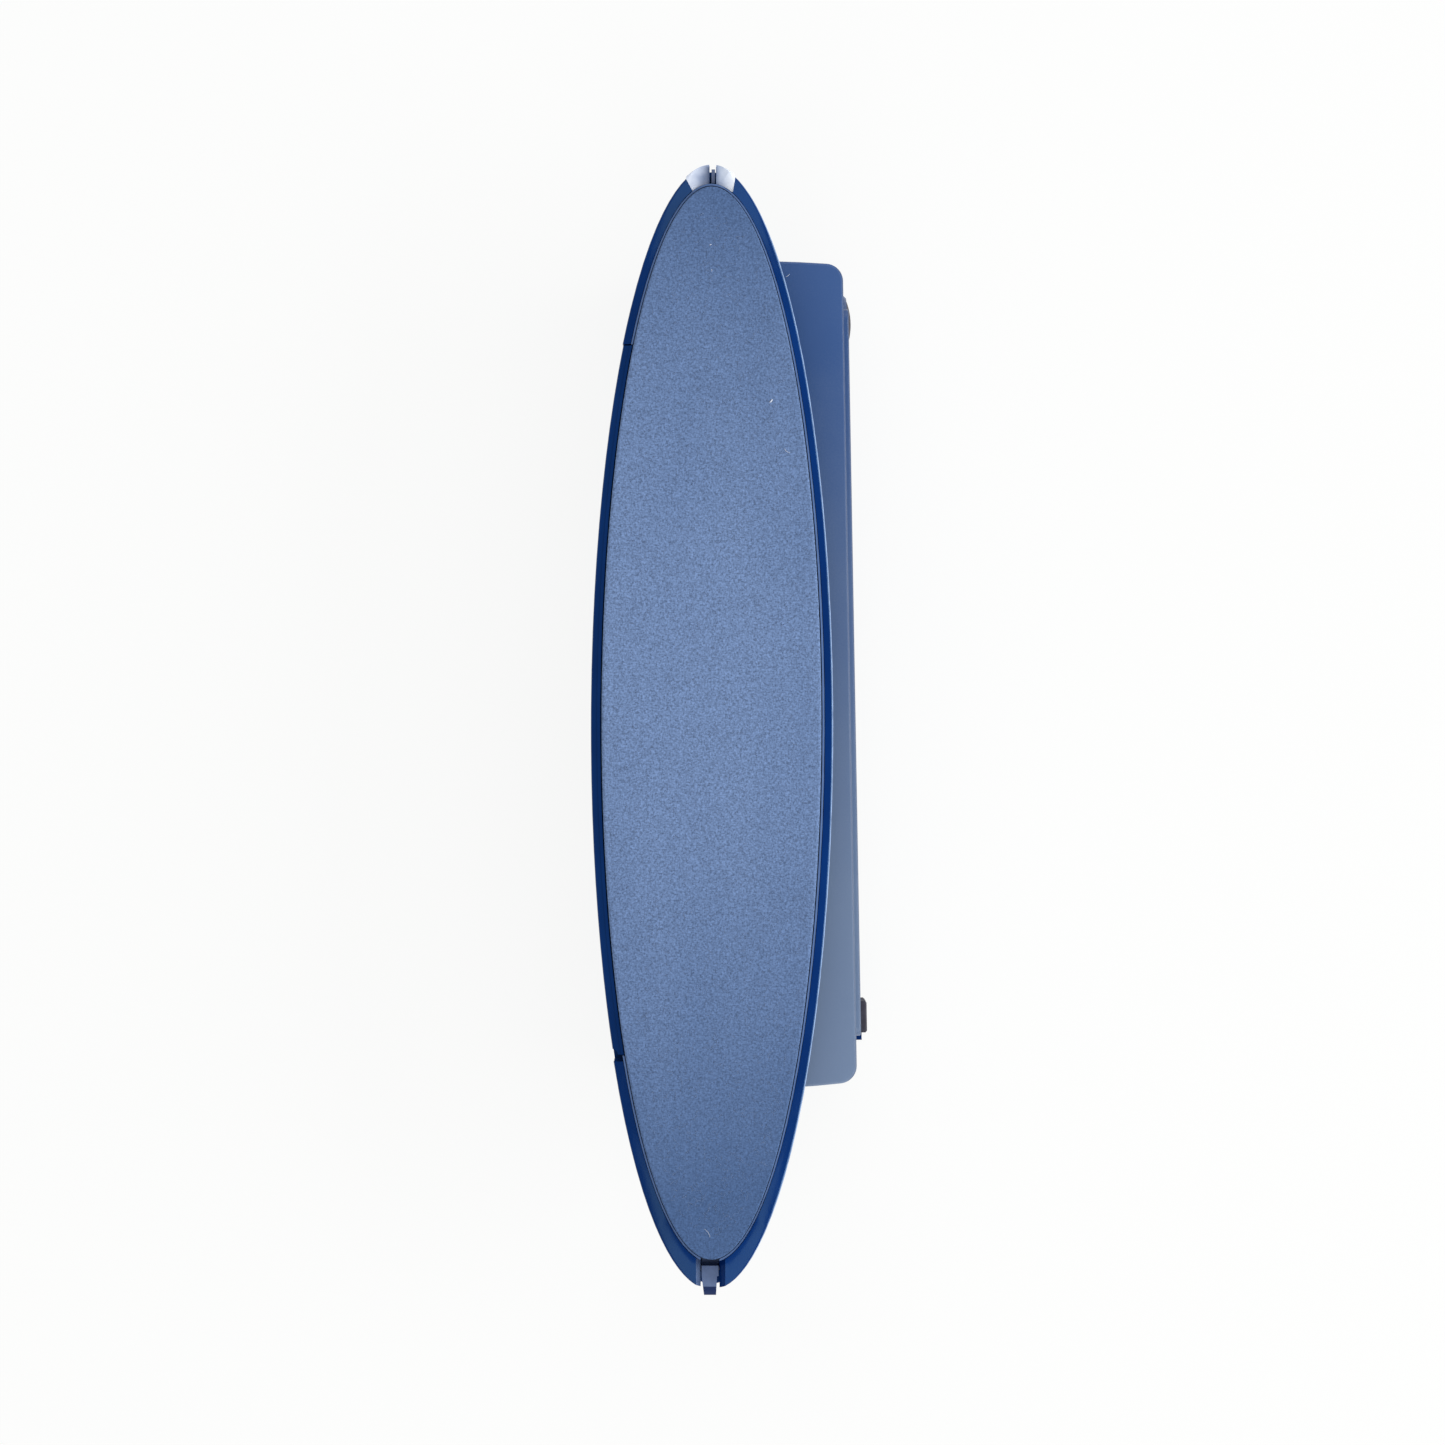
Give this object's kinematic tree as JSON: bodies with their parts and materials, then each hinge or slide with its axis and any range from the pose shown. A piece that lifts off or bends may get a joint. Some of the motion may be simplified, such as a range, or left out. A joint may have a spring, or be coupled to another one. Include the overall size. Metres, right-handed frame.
{
  "type": "board eraser",
  "caption": "Hand-held board eraser: oval head with a replaceable felt cartridge, offset box grip, side latch, end catch and rubber side feet.",
  "frame": {"origin": "on the oval head's axis, at the plane of the grip's back face that the eraser lies on", "axes": "+Z out of the felt face, +Y along the head towards its nose, +X towards the side where the grip sticks out and has its feet"},
  "size_m": [0.0562, 0.2269, 0.042],
  "materials": {
    "frame_gloss": "high gloss moulded navy",
    "latch_gloss": "high gloss moulded navy",
    "nose_white": "high gloss pale lavender",
    "key_grey": "matte grey-violet",
    "catch_grey": "matte grey-violet",
    "carrier_plastic": "matte dark blue",
    "foam": "closed-cell foam",
    "felt": "fine dense felt",
    "steel": "zinc plated",
    "grip_satin": "satin moulded blue-grey",
    "cover_satin": "fine moulded texture, blue-grey",
    "side_cover_satin": "satin moulded blue-grey",
    "foot_rubber": "matte dark grey rubber",
    "magnet": "nickel plated magnet"
  },
  "bodies": {
    "body": {"head_frame": "frame_gloss", "nose_block_left": "nose_white", "nose_block_right": "nose_white", "nose_key": "key_grey", "pad_carrier": "carrier_plastic", "foam_layer": "foam", "felt_pad": "felt", "latch_screws": "steel", "catch_pin": "steel", "catch_spring": "steel", "neck_plate": "carrier_plastic", "head_screws": "steel", "grip_shell": "grip_satin", "grip_back_cover": "cover_satin", "cover_screws": "steel", "side_cover": "side_cover_satin", "side_cover_screws": "steel", "round_foot": "foot_rubber", "bar_foot": "foot_rubber", "cover_clip": "latch_gloss", "magnets": "magnet", "magnet_keeper": "steel"},
    "latch": {"side_latch": "latch_gloss"},
    "catch": {"end_catch": "catch_grey"}
  },
  "joints": [
    {"name": "side_latch_slide", "type": "slide", "parent": "body", "child": "latch", "axis": [-1, 0, 0], "range_m": [0, 0.003]},
    {"name": "end_catch_hinge", "type": "hinge", "parent": "body", "child": "catch", "pos_m": [0, -0.1093, 0.0324], "axis": [1, 0, 0], "range_deg": [0, 10], "stiffness_Nm_per_rad": 0.01, "springref_deg": -5.73}
  ]
}
